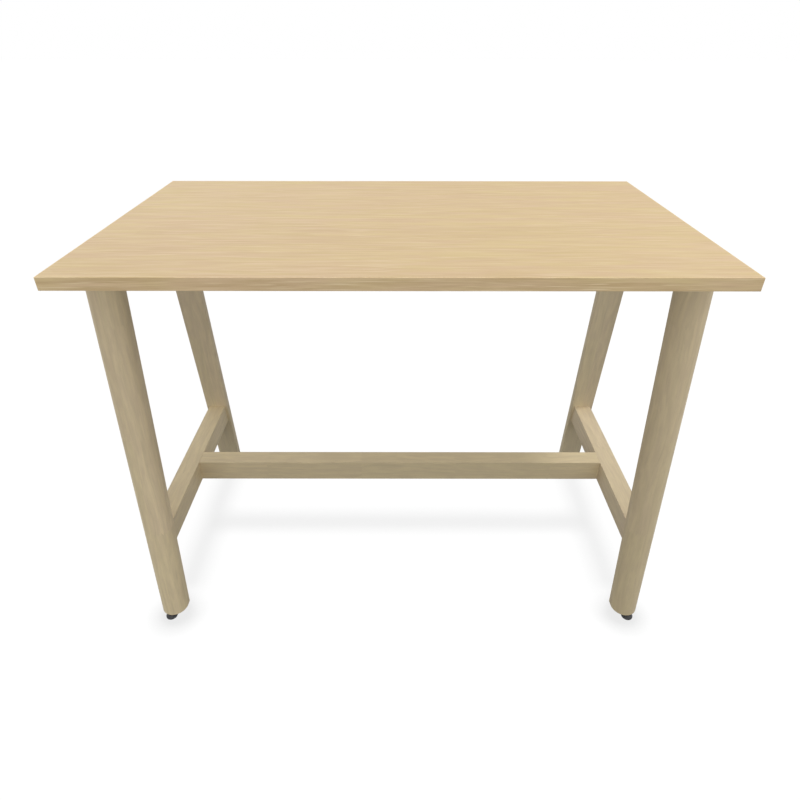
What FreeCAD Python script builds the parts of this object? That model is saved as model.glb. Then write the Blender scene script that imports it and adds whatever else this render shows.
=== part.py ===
import FreeCAD, Part
import math
import os

import Sketcher

# A bar-height table: a laminate top on four raked half-round legs, with side rails and one long rail.
# Millimetres, +Z up, X along the top; the origin is on the floor below the middle of the top.

SIZES = {
    # the top board, its two face sheets and the band on its edges
    "table_height": 1080,
    "top_length": 1400,
    "top_width": 800,
    "top_thickness": 28,
    "laminate_thickness": 0.8,
    "edge_band_thickness": 2,
    "edge_band_radius": 0.9,
    # the legs: a flat inner face, short flanks and a half-round outer face, narrower at the foot
    "leg_side_inset": 0.5,
    "leg_top_inset": 190,
    "leg_foot_inset": 80,
    "leg_width_top": 80,
    "leg_width_foot": 72,
    "leg_flank_top": 16,
    "leg_flank_foot": 16,
    "leg_edge_radius": 2.5,
    "leg_end_radius": 1.5,
    "leg_plane_allowance": 6,
    "leg_gap": 32,
    # the rails
    "rail_top_height": 317,
    "rail_height": 67,
    "rail_edge_radius": 1.5,
    "side_rail_width": 56,
    "long_rail_width": 54,
    # the steel plates between the legs and the top
    "plate_length": 140,
    "plate_width": 110,
    "plate_thickness": 5,
    "plate_end_inset": 8,
    "plate_corner_radius": 10,
    # wood screws up through the plates
    "screw_inset": 12,
    "screw_length": 25,
    "screw_radius": 2.25,
    "screw_head_radius": 4.5,
    "screw_head_height": 2.5,
    "screw_point": 4,
    # bolts down through the plates into the legs
    "leg_bolt_spacing": 36,
    "leg_bolt_length": 28,
    "bolt_radius": 4,
    "leg_bolt_head_radius": 8,
    "leg_bolt_head_land": 1,
    "insert_radius": 6,
    "leg_insert_length": 25,
    # dowels
    "dowel_radius": 5,
    "dowel_length": 50,
    "dowel_chamfer": 1.5,
    "dowel_end_gap": 0.8,
    "side_dowel_spacing": 32,
    "long_dowel_spacing": 30,
    # bolts and barrel nuts of the long rail
    "rail_bolt_length": 90,
    "rail_bolt_head_radius": 8.5,
    "rail_bolt_head_height": 3,
    "rail_bolt_head_sink": 1,
    "rail_bolt_end_gap": 2,
    "barrel_radius": 5,
    "barrel_length": 30,
    "barrel_inset": 28,
    # levelling feet
    "foot_outset": 14,
    "foot_setback": 28.5,
    "foot_insert_length": 20,
    "foot_flange_radius": 10,
    "foot_flange_thickness": 1.5,
    "stud_radius": 4,
    "stud_reach": 24,
    "stud_chamfer": 0.8,
    "stud_room": 6,
    "nut_across_flats": 13,
    "nut_height": 6.5,
    "pad_radius": 16,
    "pad_rim_height": 5,
    "pad_height": 11,
    "pad_boss_radius": 9,
    "pad_floor": 3,
    "pad_chamfer": 1,
    # gaps
    "fit_clearance": 0.05,
    "hole_clearance": 0.25,
    "moving_gap": 0.3,
}

os.makedirs("parts", exist_ok=True)
doc = FreeCAD.newDocument("HighTable")
sheet = doc.addObject("Spreadsheet::Sheet", "Sizes")
for row, (name, size) in enumerate(SIZES.items(), start=1):
    sheet.set(f"A{row}", name)
    sheet.set(f"B{row}", str(size))
    sheet.setAlias(f"B{row}", name)
doc.recompute()

# Places that several pieces share, as formulas of the sizes.
UNDERSIDE = "(Sizes.table_height - Sizes.top_thickness)"
LEG_TOP = f"({UNDERSIDE} - Sizes.plate_thickness)"
LEG_X = "(Sizes.top_length / 2 - Sizes.leg_side_inset - Sizes.leg_width_top / 2)"
FLAT_TOP = "(Sizes.top_width / 2 - Sizes.leg_top_inset)"
FLAT_FOOT = "(Sizes.top_width / 2 - Sizes.leg_foot_inset)"
LEG_LEAN = f"(({FLAT_FOOT} - {FLAT_TOP}) / ({LEG_TOP} - Sizes.leg_gap))"
LEG_TOP_MIDDLE = f"({FLAT_TOP} + (Sizes.leg_flank_top + Sizes.leg_width_top / 2) / 2)"
PLATE_X = "(Sizes.top_length / 2 - Sizes.plate_end_inset - Sizes.plate_length / 2)"
RAIL_BOTTOM = "(Sizes.rail_top_height - Sizes.rail_height)"
RAIL_MIDDLE = "(Sizes.rail_top_height - Sizes.rail_height / 2)"
RAIL_OUTER_FACE = f"({LEG_X} + Sizes.side_rail_width / 2)"
RAIL_INNER_FACE = f"({LEG_X} - Sizes.side_rail_width / 2)"
FOOT_X = f"({LEG_X} + Sizes.foot_outset)"
FOOT_Y = f"({FLAT_FOOT} + Sizes.foot_setback)"

SIDES = {-1: "left", 1: "right"}
ENDS = {-1: "front", 1: "back"}
CORNERS = [(side, end) for end in ENDS for side in SIDES]

UPRIGHT = FreeCAD.Rotation()
DOWNWARD = FreeCAD.Rotation(FreeCAD.Vector(1, 0, 0), 180)
ALONG_Y = FreeCAD.Rotation(FreeCAD.Vector(1, 0, 0), -90)
ALONG_X = FreeCAD.Rotation(FreeCAD.Vector(0, 1, 0), 90)
AGAINST_X = FreeCAD.Rotation(FreeCAD.Vector(0, 1, 0), -90)

nodes = []


def corner_name(piece, side, end):
    return f"{piece}_{ENDS[end]}_{SIDES[side]}"


def flat_at(height):
    """Distance of the legs' flat faces from the middle plane at a height above the floor."""
    return f"({FLAT_FOOT} - {LEG_LEAN} * ({height} - Sizes.leg_gap))"


def bind(piece, **formulas):
    for name, formula in formulas.items():
        piece.setExpression(name, formula)


def place(piece, base, turn=UPRIGHT):
    piece.Placement = FreeCAD.Placement(FreeCAD.Vector(), turn)
    for axis, formula in zip("xyz", base):
        piece.setExpression(f"Placement.Base.{axis}", formula)


def keep(piece, label):
    """Marks a finished piece, whose label names its file."""
    piece.Label = label
    nodes.append(piece)
    return piece


# Helpers that make solids

def board(name, length, width, height, base):
    piece = doc.addObject("Part::Box", name)
    bind(piece, Length=length, Width=width, Height=height)
    place(piece, base)
    return piece


def cylinder(name, radius, height, base, turn=UPRIGHT):
    piece = doc.addObject("Part::Cylinder", name)
    bind(piece, Radius=radius, Height=height)
    place(piece, base, turn)
    return piece


def cut(blank, bores):
    """The blank without its bores, taken out one after another."""
    piece = blank
    for bore in bores:
        bored = doc.addObject("Part::Cut", f"{blank.Name}_cut")
        bored.Base = piece
        bored.Tool = bore
        piece = bored
    return piece


def copies(name, master, places):
    """Linked copies of one solid, each at its own place."""
    links = []
    for base, turn in places:
        link = doc.addObject("App::Link", name)
        link.LinkedObject = master
        place(link, base, turn)
        links.append(link)
    return links


def group(label, solids):
    """Identical fasteners as one piece of separate solids."""
    piece = doc.addObject("Part::Compound", label)
    piece.Links = solids
    return keep(piece, label)


def new_sketch(body, plane, offset=()):
    support = next(feature for feature in body.Origin.OriginFeatures if feature.Role == plane)
    sketch = body.newObject("Sketcher::SketchObject", f"{body.Name}_sketch")
    sketch.AttachmentSupport = [(support, "")]
    sketch.MapMode = "FlatFace"
    for axis, formula in zip("xyz", offset):
        sketch.setExpression(f"AttachmentOffset.Base.{axis}", formula)
    return sketch


def dimension(sketch, formula, kind, *between):
    """A driven dimension; its first value only has to be positive."""
    index = sketch.addConstraint(Sketcher.Constraint(kind, *between, 1.0))
    sketch.setExpression(f"Constraints[{index}]", formula)


def outline(sketch, points):
    """Closed line through points given as formulas: "0" lies on an axis, a leading minus beyond it."""
    count = len(points)
    corners = [FreeCAD.Vector(i + 1, (i + 1) ** 2, 0) for i in range(count)]
    for start, end in zip(corners, corners[1:] + corners[:1]):
        sketch.addGeometry(Part.LineSegment(start, end))
    for line in range(count):
        sketch.addConstraint(Sketcher.Constraint("Coincident", line, 2, (line + 1) % count, 1))
    for line, point in enumerate(points):
        for kind, axis, formula in zip(("DistanceX", "DistanceY"), (-2, -1), point):
            if formula == "0":
                sketch.addConstraint(Sketcher.Constraint("PointOnObject", line, 1, axis))
            elif formula.startswith("-"):
                dimension(sketch, formula[1:], kind, line, 1, -1, 1)
            else:
                dimension(sketch, formula, kind, -1, 1, line, 1)


def pad(body, sketch, length):
    feature = body.newObject("PartDesign::Pad", f"{body.Name}_pad")
    feature.Profile = sketch
    bind(feature, Length=length)
    doc.recompute()
    return feature


def fillet(body, base, radius, chosen):
    """Rounds the edges of the base that chosen() picks by their middle point and direction."""
    names = []
    for number, edge in enumerate(base.Shape.Edges, start=1):
        middle = edge.valueAt((edge.FirstParameter + edge.LastParameter) / 2)
        if chosen(middle, edge.tangentAt(edge.FirstParameter)):
            names.append(f"Edge{number}")
    feature = body.newObject("PartDesign::Fillet", f"{body.Name}_fillet")
    feature.Base = (base, names)
    bind(feature, Radius=radius)
    doc.recompute()
    return feature


def turned(name, points):
    """A solid of revolution about its Z axis, from (radius, height) formulas."""
    body = doc.addObject("PartDesign::Body", name)
    sketch = new_sketch(body, "XZ_Plane")
    outline(sketch, points)
    feature = body.newObject("PartDesign::Revolution", f"{name}_turn")
    feature.Profile = sketch
    feature.ReferenceAxis = (sketch, ["V_Axis"])
    feature.Angle = 360
    return body


def plain_pin(name, radius, length):
    return turned(name, [("0", "0"), (radius, "0"), (radius, length), ("0", length)])


# Screws up through the plates into the top

SCREW_SHANK_END = "(Sizes.screw_length - Sizes.screw_point)"
SCREW_BORE = "(Sizes.screw_radius + Sizes.fit_clearance)"
SCREW_BORE_END = "(Sizes.screw_length + Sizes.fit_clearance)"
screw = turned("screw", [
    ("0", "0"),
    ("Sizes.screw_head_radius", "0"),
    ("Sizes.screw_radius", "Sizes.screw_head_height"),
    ("Sizes.screw_radius", SCREW_SHANK_END),
    ("0", "Sizes.screw_length"),
])
screw_bore = turned("screw_bore", [
    ("0", "0"),
    ("(Sizes.screw_head_radius + Sizes.fit_clearance)", "0"),
    (SCREW_BORE, "Sizes.screw_head_height"),
    (SCREW_BORE, SCREW_BORE_END),
    ("0", SCREW_BORE_END),
])


def screw_places(side, end):
    across = "(Sizes.plate_length / 2 - Sizes.screw_inset)"
    along = "(Sizes.plate_width / 2 - Sizes.screw_inset)"
    places = []
    for i in (-1, 1):
        for j in (-1, 1):
            x = f"{side} * {PLATE_X} + {i} * {across}"
            y = f"{end} * {LEG_TOP_MIDDLE} + {j} * {along}"
            places.append(((x, y, LEG_TOP), UPRIGHT))
    return places


screws = []
screw_bores = {}
for corner in CORNERS:
    screws += copies("plate_screw", screw, screw_places(*corner))
    screw_bores[corner] = copies("plate_screw_bore", screw_bore, screw_places(*corner))
group("plate_screws", screws)
all_screw_bores = [bore for bores in screw_bores.values() for bore in bores]


# The top: a core board, a sheet on each face and a band on each edge

CORE_LENGTH = "(Sizes.top_length - 2 * Sizes.edge_band_thickness)"
CORE_WIDTH = "(Sizes.top_width - 2 * Sizes.edge_band_thickness)"
CORE_CORNER = (f"-{CORE_LENGTH} / 2", f"-{CORE_WIDTH} / 2")


def layer(name, thickness, height):
    return board(name, CORE_LENGTH, CORE_WIDTH, thickness, (*CORE_CORNER, height))


backing = layer("backing_blank", "Sizes.laminate_thickness", UNDERSIDE)
keep(cut(backing, all_screw_bores), "backing_laminate")
core = layer("core_blank", "Sizes.top_thickness - 2 * Sizes.laminate_thickness",
             f"{UNDERSIDE} + Sizes.laminate_thickness")
keep(cut(core, all_screw_bores), "top_core")
sheet_bottom = "Sizes.table_height - Sizes.laminate_thickness"
keep(layer("face_sheet", "Sizes.laminate_thickness", sheet_bottom), "top_laminate")


def edge_band(label, length, base, turn, round_ends):
    """A band along local X with its outer face toward local -Y; the arris is rounded."""
    body = doc.addObject("PartDesign::Body", label)
    sketch = new_sketch(body, "XY_Plane")
    half = f"({length} / 2)"
    outline(sketch, [(f"-{half}", "0"), (half, "0"), (half, "Sizes.edge_band_thickness"),
                     (f"-{half}", "Sizes.edge_band_thickness")])
    band = pad(body, sketch, "Sizes.top_thickness")
    box = band.Shape.BoundBox

    def on_arris(middle, direction):
        outer_faces = [
            math.isclose(middle.y, box.YMin, abs_tol=1e-6),
            math.isclose(middle.z, box.ZMin, abs_tol=1e-6),
            math.isclose(middle.z, box.ZMax, abs_tol=1e-6),
            round_ends and math.isclose(abs(middle.x), box.XMax, abs_tol=1e-6),
        ]
        return sum(outer_faces) >= 2

    fillet(body, band, "Sizes.edge_band_radius", on_arris)
    place(body, base, FreeCAD.Rotation(FreeCAD.Vector(0, 0, 1), turn))
    keep(body, label)


edge_band("edge_band_front", "Sizes.top_length", ("0", "-Sizes.top_width / 2", UNDERSIDE), 0, True)
edge_band("edge_band_back", "Sizes.top_length", ("0", "Sizes.top_width / 2", UNDERSIDE), 180, True)
edge_band("edge_band_left", CORE_WIDTH, ("-Sizes.top_length / 2", "0", UNDERSIDE), -90, False)
edge_band("edge_band_right", CORE_WIDTH, ("Sizes.top_length / 2", "0", UNDERSIDE), 90, False)


# Bolts and inserts that hold the plates on the legs

leg_bolt = turned("leg_bolt", [
    ("0", "0"),
    ("Sizes.leg_bolt_head_radius", "0"),
    ("Sizes.bolt_radius", "(Sizes.plate_thickness - Sizes.leg_bolt_head_land)"),
    ("Sizes.bolt_radius", "Sizes.leg_bolt_length"),
    ("0", "Sizes.leg_bolt_length"),
])
leg_bolt_bore = turned("leg_bolt_bore", [
    ("0", "0"),
    ("(Sizes.leg_bolt_head_radius + Sizes.fit_clearance)", "0"),
    ("(Sizes.bolt_radius + Sizes.fit_clearance)", "(Sizes.plate_thickness - Sizes.leg_bolt_head_land)"),
    ("(Sizes.bolt_radius + Sizes.fit_clearance)", "Sizes.plate_thickness"),
    ("0", "Sizes.plate_thickness"),
])
INSERT_BORE = "(Sizes.bolt_radius + Sizes.fit_clearance)"
leg_insert = turned("leg_insert", [
    (INSERT_BORE, "0"),
    ("Sizes.insert_radius", "0"),
    ("Sizes.insert_radius", "Sizes.leg_insert_length"),
    (INSERT_BORE, "Sizes.leg_insert_length"),
])
leg_insert_bore = plain_pin("leg_insert_bore", "(Sizes.insert_radius + Sizes.fit_clearance)",
                            "(max(Sizes.leg_insert_length; Sizes.leg_bolt_length) + Sizes.fit_clearance)")


def leg_bolt_places(side, end, height):
    places = []
    for step in (-1, 1):
        x = f"{side} * {LEG_X} + {step} * Sizes.leg_bolt_spacing / 2"
        places.append(((x, f"{end} * {LEG_TOP_MIDDLE}", height), DOWNWARD))
    return places


leg_bolts = []
leg_inserts = []
for corner in CORNERS:
    leg_bolts += copies("leg_bolt_copy", leg_bolt, leg_bolt_places(*corner, UNDERSIDE))
    leg_inserts += copies("leg_insert_copy", leg_insert, leg_bolt_places(*corner, LEG_TOP))
group("leg_bolts", leg_bolts)
group("leg_inserts", leg_inserts)


# Steel plates

def leg_plate(side, end):
    label = corner_name("leg_plate", side, end)
    body = doc.addObject("PartDesign::Body", f"{label}_blank")
    sketch = new_sketch(body, "XY_Plane")
    across, along = "(Sizes.plate_length / 2)", "(Sizes.plate_width / 2)"
    outline(sketch, [(f"-{across}", f"-{along}"), (across, f"-{along}"),
                     (across, along), (f"-{across}", along)])
    blank = pad(body, sketch, "Sizes.plate_thickness")
    fillet(body, blank, "Sizes.plate_corner_radius", lambda middle, direction: abs(direction.z) > 0.9)
    place(body, (f"{side} * {PLATE_X}", f"{end} * {LEG_TOP_MIDDLE}", LEG_TOP))
    bolt_bores = copies("leg_bolt_bore_copy", leg_bolt_bore, leg_bolt_places(side, end, UNDERSIDE))
    keep(cut(body, screw_bores[side, end] + bolt_bores), label)


for corner in CORNERS:
    leg_plate(*corner)


# Dowels between the side rails and the legs, and between the long rail and the side rails

dowel = turned("dowel", [
    ("0", "0"),
    ("(Sizes.dowel_radius - Sizes.dowel_chamfer)", "0"),
    ("Sizes.dowel_radius", "Sizes.dowel_chamfer"),
    ("Sizes.dowel_radius", "(Sizes.dowel_length - Sizes.dowel_chamfer)"),
    ("(Sizes.dowel_radius - Sizes.dowel_chamfer)", "Sizes.dowel_length"),
    ("0", "Sizes.dowel_length"),
])
dowel_bore = plain_pin("dowel_bore", "(Sizes.dowel_radius + Sizes.fit_clearance)",
                       "(Sizes.dowel_length + 2 * Sizes.dowel_end_gap)")
DOWEL_START = "Sizes.dowel_length / 2"
DOWEL_BORE_START = "(Sizes.dowel_length / 2 + Sizes.dowel_end_gap)"


def side_dowel_places(side, end, start):
    places = []
    for step in (-1, 1):
        height = f"({RAIL_MIDDLE} + {step} * Sizes.side_dowel_spacing / 2)"
        places.append(((f"{side} * {LEG_X}", f"{end} * {flat_at(height)} - {start}", height), ALONG_Y))
    return places


def long_dowel_places(side, start):
    places = []
    for step in (-1, 1):
        x = f"{side} * {RAIL_INNER_FACE} - {start}"
        places.append(((x, f"{step} * Sizes.long_dowel_spacing / 2", RAIL_MIDDLE), ALONG_X))
    return places


side_dowels = []
side_dowel_bores = {}
for corner in CORNERS:
    side_dowels += copies("side_dowel", dowel, side_dowel_places(*corner, DOWEL_START))
    bore_places = side_dowel_places(*corner, DOWEL_BORE_START)
    side_dowel_bores[corner] = copies("side_dowel_bore", dowel_bore, bore_places)
group("side_rail_dowels", side_dowels)

long_dowels = []
long_dowel_bores = {}
for side in SIDES:
    long_dowels += copies("long_dowel", dowel, long_dowel_places(side, DOWEL_START))
    long_dowel_bores[side] = copies("long_dowel_bore", dowel_bore, long_dowel_places(side, DOWEL_BORE_START))
group("long_rail_dowels", long_dowels)


# Bolts and barrel nuts of the long rail

BOLT_SEAT = "(Sizes.rail_bolt_head_sink + Sizes.rail_bolt_head_height)"
BOLT_END = f"({BOLT_SEAT} + Sizes.rail_bolt_length)"
BOLT_BORE = "(Sizes.bolt_radius + Sizes.hole_clearance)"
BOLT_BORE_END = f"({BOLT_END} + Sizes.rail_bolt_end_gap)"
HEAD_BORE = "(Sizes.rail_bolt_head_radius + Sizes.hole_clearance)"
rail_bolt = turned("rail_bolt", [
    ("0", "Sizes.rail_bolt_head_sink"),
    ("Sizes.rail_bolt_head_radius", "Sizes.rail_bolt_head_sink"),
    ("Sizes.rail_bolt_head_radius", BOLT_SEAT),
    ("Sizes.bolt_radius", BOLT_SEAT),
    ("Sizes.bolt_radius", BOLT_END),
    ("0", BOLT_END),
])
rail_bolt_bore = turned("rail_bolt_bore", [
    ("0", "0"),
    (HEAD_BORE, "0"),
    (HEAD_BORE, BOLT_SEAT),
    (BOLT_BORE, BOLT_SEAT),
    (BOLT_BORE, BOLT_BORE_END),
    ("0", BOLT_BORE_END),
])

rail_bolts = []
rail_bolt_bores = {}
barrel_nuts = []
barrel_bores = []
for side, turn in ((-1, ALONG_X), (1, AGAINST_X)):
    at_outer_face = [((f"{side} * {RAIL_OUTER_FACE}", "0", RAIL_MIDDLE), turn)]
    rail_bolts += copies("rail_bolt_copy", rail_bolt, at_outer_face)
    rail_bolt_bores[side] = copies("rail_bolt_bore_copy", rail_bolt_bore, at_outer_face)
    barrel_x = f"{side} * ({RAIL_INNER_FACE} - Sizes.barrel_inset)"
    barrel = cylinder("barrel", "Sizes.barrel_radius", "Sizes.barrel_length",
                      (barrel_x, "0", f"{RAIL_MIDDLE} - Sizes.barrel_length / 2"))
    thread = cylinder("barrel_thread", "Sizes.bolt_radius + Sizes.fit_clearance", "4 * Sizes.barrel_radius",
                      (f"{barrel_x} - 2 * Sizes.barrel_radius", "0", RAIL_MIDDLE), ALONG_X)
    barrel_nuts.append(cut(barrel, [thread]))
    bore_depth = "Sizes.rail_height / 2 + Sizes.barrel_length / 2 + Sizes.fit_clearance"
    barrel_bores.append(cylinder("barrel_bore", "Sizes.barrel_radius + Sizes.fit_clearance", bore_depth,
                                 (barrel_x, "0", RAIL_BOTTOM)))
group("long_rail_bolts", rail_bolts)
group("barrel_nuts", barrel_nuts)


# Rails

def side_rail(side):
    """A bar with its ends cut to the lean of the legs' flat faces."""
    label = f"side_rail_{SIDES[side]}"
    body = doc.addObject("PartDesign::Body", f"{label}_blank")
    sketch = new_sketch(body, "YZ_Plane")
    low, high = flat_at(RAIL_BOTTOM), flat_at("Sizes.rail_top_height")
    outline(sketch, [(f"-{low}", RAIL_BOTTOM), (low, RAIL_BOTTOM),
                     (high, "Sizes.rail_top_height"), (f"-{high}", "Sizes.rail_top_height")])
    blank = pad(body, sketch, "Sizes.side_rail_width")
    fillet(body, blank, "Sizes.rail_edge_radius", lambda middle, direction: abs(direction.y) > 0.999)
    place(body, (f"{side} * {LEG_X} - Sizes.side_rail_width / 2", "0", "0"))
    end_bores = side_dowel_bores[side, -1] + side_dowel_bores[side, 1]
    keep(cut(body, end_bores + long_dowel_bores[side] + rail_bolt_bores[side]), label)


for side in SIDES:
    side_rail(side)


def long_rail():
    body = doc.addObject("PartDesign::Body", "long_rail_blank")
    sketch = new_sketch(body, "YZ_Plane")
    half = "(Sizes.long_rail_width / 2)"
    outline(sketch, [(f"-{half}", RAIL_BOTTOM), (half, RAIL_BOTTOM),
                     (half, "Sizes.rail_top_height"), (f"-{half}", "Sizes.rail_top_height")])
    blank = pad(body, sketch, f"2 * {RAIL_INNER_FACE}")
    fillet(body, blank, "Sizes.rail_edge_radius", lambda middle, direction: abs(direction.x) > 0.999)
    place(body, (f"-{RAIL_INNER_FACE}", "0", "0"))
    bores = [bore for side in SIDES for bore in long_dowel_bores[side] + rail_bolt_bores[side]]
    keep(cut(body, bores + barrel_bores), "long_rail")


long_rail()


# Legs

foot_bore = turned("foot_bore", [
    ("0", "0"),
    ("(Sizes.insert_radius + Sizes.fit_clearance)", "0"),
    ("(Sizes.insert_radius + Sizes.fit_clearance)", "Sizes.foot_insert_length"),
    ("(Sizes.stud_radius + Sizes.hole_clearance)", "Sizes.foot_insert_length"),
    ("(Sizes.stud_radius + Sizes.hole_clearance)",
     "(max(Sizes.stud_reach; Sizes.foot_insert_length) + Sizes.stud_room)"),
    ("0", "(max(Sizes.stud_reach; Sizes.foot_insert_length) + Sizes.stud_room)"),
])


def leg_section(body, width_name, flank_name, flat, height):
    """Half-round section of the blank; the flat face is planed down to the sketch's X axis afterwards."""
    sketch = new_sketch(body, "XY_Plane", ("0", f"-{flat}", height))
    half = getattr(sheet, width_name) / 2
    flank = getattr(sheet, flank_name)
    spare = sheet.leg_plane_allowance
    vector = FreeCAD.Vector
    circle = Part.Circle(vector(0, -flank), vector(0, 0, 1), half)
    back, right_flank, front, left_flank = sketch.addGeometry([
        Part.LineSegment(vector(-half, spare), vector(half, spare)),
        Part.LineSegment(vector(half, spare), vector(half, -flank)),
        Part.ArcOfCircle(circle, math.pi, 2 * math.pi),
        Part.LineSegment(vector(-half, -flank), vector(-half, spare)),
    ])
    sketch.addConstraint([
        Sketcher.Constraint("Coincident", back, 2, right_flank, 1),
        Sketcher.Constraint("Tangent", right_flank, 2, front, 2),
        Sketcher.Constraint("Tangent", front, 1, left_flank, 1),
        Sketcher.Constraint("Coincident", left_flank, 2, back, 1),
        Sketcher.Constraint("Horizontal", back),
        Sketcher.Constraint("Vertical", right_flank),
        Sketcher.Constraint("Vertical", left_flank),
        Sketcher.Constraint("PointOnObject", front, 3, -2),
    ])
    for kind, between, size, name in (
        ("DistanceX", (left_flank, 1, right_flank, 2), 2 * half, width_name),
        ("DistanceY", (front, 3, -1, 1), flank, flank_name),
        ("DistanceY", (-1, 1, back, 1), spare, "leg_plane_allowance"),
    ):
        index = sketch.addConstraint(Sketcher.Constraint(kind, *between, size))
        sketch.setExpression(f"Constraints[{index}]", f"Sizes.{name}")
    return sketch


def plane_flat(body):
    """Takes the allowance off the leaning flat, with a cut that starts beside the leg and runs across it."""
    sketch = new_sketch(body, "YZ_Plane", ("0", "0", "Sizes.leg_width_top"))
    low, high = flat_at("0"), flat_at("Sizes.table_height")
    beyond = "2 * Sizes.leg_plane_allowance"
    outline(sketch, [(f"-{low}", "0"), (f"-({low} - {beyond})", "0"),
                     (f"-({high} - {beyond})", "Sizes.table_height"), (f"-{high}", "Sizes.table_height")])
    feature = body.newObject("PartDesign::Pocket", f"{body.Name}_flat")
    feature.Profile = sketch
    bind(feature, Length="2 * Sizes.leg_width_top")
    doc.recompute()
    return feature


def leg(side, end):
    """A raked leg, narrower at the foot, with level end cuts."""
    label = corner_name("leg", side, end)
    body = doc.addObject("PartDesign::Body", f"{label}_blank")
    foot = leg_section(body, "leg_width_foot", "leg_flank_foot", FLAT_FOOT, "Sizes.leg_gap")
    head = leg_section(body, "leg_width_top", "leg_flank_top", FLAT_TOP, LEG_TOP)
    shaft = body.newObject("PartDesign::AdditiveLoft", f"{label}_shaft")
    shaft.Profile = foot
    shaft.Sections = [head]
    shaft.Ruled = True
    doc.recompute()
    planed = plane_flat(body)
    flat_middle = (sheet.leg_top_inset + sheet.leg_foot_inset - sheet.top_width) / 2
    half_flank = min(sheet.leg_flank_top, sheet.leg_flank_foot) / 2

    def beside_flat(middle, direction):
        return abs(direction.z) > 0.9 and abs(middle.y - flat_middle) < half_flank

    def around_foot(middle, direction):
        return abs(direction.z) < 0.1 and abs(middle.z - sheet.leg_gap) < 0.01

    rounded = fillet(body, planed, "Sizes.leg_edge_radius", beside_flat)
    fillet(body, rounded, "Sizes.leg_end_radius", around_foot)
    turn = FreeCAD.Rotation(FreeCAD.Vector(0, 0, 1), 0 if end < 0 else 180)
    place(body, (f"{side} * {LEG_X}", "0", "0"), turn)
    bores = copies("leg_insert_bore_copy", leg_insert_bore, leg_bolt_places(side, end, LEG_TOP))
    bores += copies("foot_bore_copy", foot_bore, [foot_place(side, end, "Sizes.leg_gap")])
    keep(cut(body, bores + side_dowel_bores[side, end]), label)


def foot_place(side, end, height):
    return (f"{side} * {FOOT_X}", f"{end} * {FOOT_Y}", height), UPRIGHT


for corner in CORNERS:
    leg(*corner)


# Levelling feet: an insert in the leg, a stud with its lock nut, and a pad that carries the stud

STUD_BORE = "(Sizes.stud_radius + Sizes.fit_clearance)"
foot_insert = turned("foot_insert", [
    (STUD_BORE, "-Sizes.foot_flange_thickness"),
    ("Sizes.foot_flange_radius", "-Sizes.foot_flange_thickness"),
    ("Sizes.foot_flange_radius", "0"),
    ("Sizes.insert_radius", "0"),
    ("Sizes.insert_radius", "Sizes.foot_insert_length"),
    (STUD_BORE, "Sizes.foot_insert_length"),
])
group("foot_inserts", copies("foot_insert_copy", foot_insert,
                             [foot_place(*corner, "Sizes.leg_gap") for corner in CORNERS]))

STUD_FOOT = "(Sizes.pad_floor + Sizes.moving_gap)"
STUD_END = "(Sizes.leg_gap + Sizes.stud_reach)"
STUD_TIP = "(Sizes.stud_radius - Sizes.stud_chamfer)"
NUT_BOTTOM = "(Sizes.leg_gap - Sizes.foot_flange_thickness - Sizes.moving_gap - Sizes.nut_height)"


def levelling_foot(side, end):
    base, turn = foot_place(side, end, "0")
    pad_body = turned(corner_name("foot_pad", side, end), [
        ("0", "0"),
        ("(Sizes.pad_radius - Sizes.pad_chamfer)", "0"),
        ("Sizes.pad_radius", "Sizes.pad_chamfer"),
        ("Sizes.pad_radius", "Sizes.pad_rim_height"),
        ("Sizes.pad_boss_radius", "Sizes.pad_height"),
        (STUD_BORE, "Sizes.pad_height"),
        (STUD_BORE, "Sizes.pad_floor"),
        ("0", "Sizes.pad_floor"),
    ])
    place(pad_body, base, turn)
    keep(pad_body, corner_name("foot_pad", side, end))

    stud = turned(corner_name("foot_stud", side, end), [
        ("0", STUD_FOOT),
        (STUD_TIP, STUD_FOOT),
        ("Sizes.stud_radius", f"({STUD_FOOT} + Sizes.stud_chamfer)"),
        ("Sizes.stud_radius", f"({STUD_END} - Sizes.stud_chamfer)"),
        (STUD_TIP, STUD_END),
        ("0", STUD_END),
    ])
    place(stud, base, turn)
    keep(stud, corner_name("foot_stud", side, end))

    blank = doc.addObject("Part::Prism", corner_name("nut_blank", side, end))
    blank.Polygon = 6
    bind(blank, Circumradius="Sizes.nut_across_flats / sqrt(3)", Height="Sizes.nut_height")
    place(blank, (base[0], base[1], NUT_BOTTOM), turn)
    bore = cylinder("nut_bore", STUD_BORE, "Sizes.nut_height", (base[0], base[1], NUT_BOTTOM))
    keep(cut(blank, [bore]), corner_name("foot_nut", side, end))


for corner in CORNERS:
    levelling_foot(*corner)


# Check every object, then write one file for each piece

doc.recompute()
for item in doc.Objects:
    if {"Invalid", "Error"} & set(item.State):
        raise RuntimeError(f"{item.Label} failed: {item.State}")
for piece in nodes:
    if piece.Shape.isNull() or not piece.Shape.isValid() or not piece.Shape.Solids:
        raise RuntimeError(f"{piece.Label} has no valid solid")
for piece in nodes:
    piece.Shape.exportStep(f"parts/{piece.Label}.step")
    volume = sum(solid.Volume for solid in piece.Shape.Solids) / 1000
    print(f"{piece.Label}: {len(piece.Shape.Solids)} solids, {volume:.1f} cm3")
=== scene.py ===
# %% [markdown]
# # A high table
# This lesson dresses the solid model of a bar-height table. The real one has a laminate top, four raked
# half-round legs of solid wood, three rails that make an H, and four screw feet. The solids arrive as a
# fixed frame, in metres, with +Z up and the floor at z = 0. Their shapes are right already, so most of
# the work is in the finishes, and only small fittings with more detail are modelled anew.

# %% Load the frame
import math

import bmesh
import bpy
from mathutils import Euler, Matrix, Vector


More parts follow.
